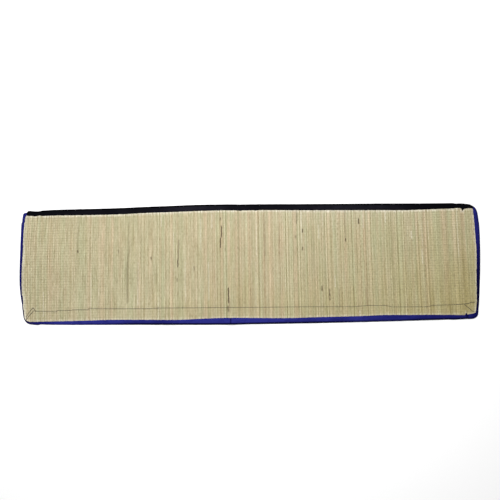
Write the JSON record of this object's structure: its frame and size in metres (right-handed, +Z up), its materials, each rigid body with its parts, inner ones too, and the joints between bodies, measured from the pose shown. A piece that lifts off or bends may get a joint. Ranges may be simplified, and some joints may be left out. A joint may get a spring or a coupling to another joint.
{
  "type": "korai grass floor mat",
  "caption": "Long narrow woven grass mat for sitting or dining on the floor, its edges wrapped in blue and black cotton cloth.",
  "frame": {"origin": "on the floor, under the middle of the mat's box", "axes": "+X along the mat's length, +Y across it towards the black binding, +Z up out of its face"},
  "size_m": [1.8338, 0.4785, 0.0086],
  "materials": {
    "korai_grass": "split dried sedge, pale straw with green and brown strands, satin",
    "blue_cloth": "plain woven cotton, dark blue, matt",
    "black_cloth": "plain woven cotton, black, matt"
  },
  "bodies": {
    "root": {"korai_panel": "korai_grass", "blue_binding": "blue_cloth", "black_binding": "black_cloth"}
  },
  "joints": []
}
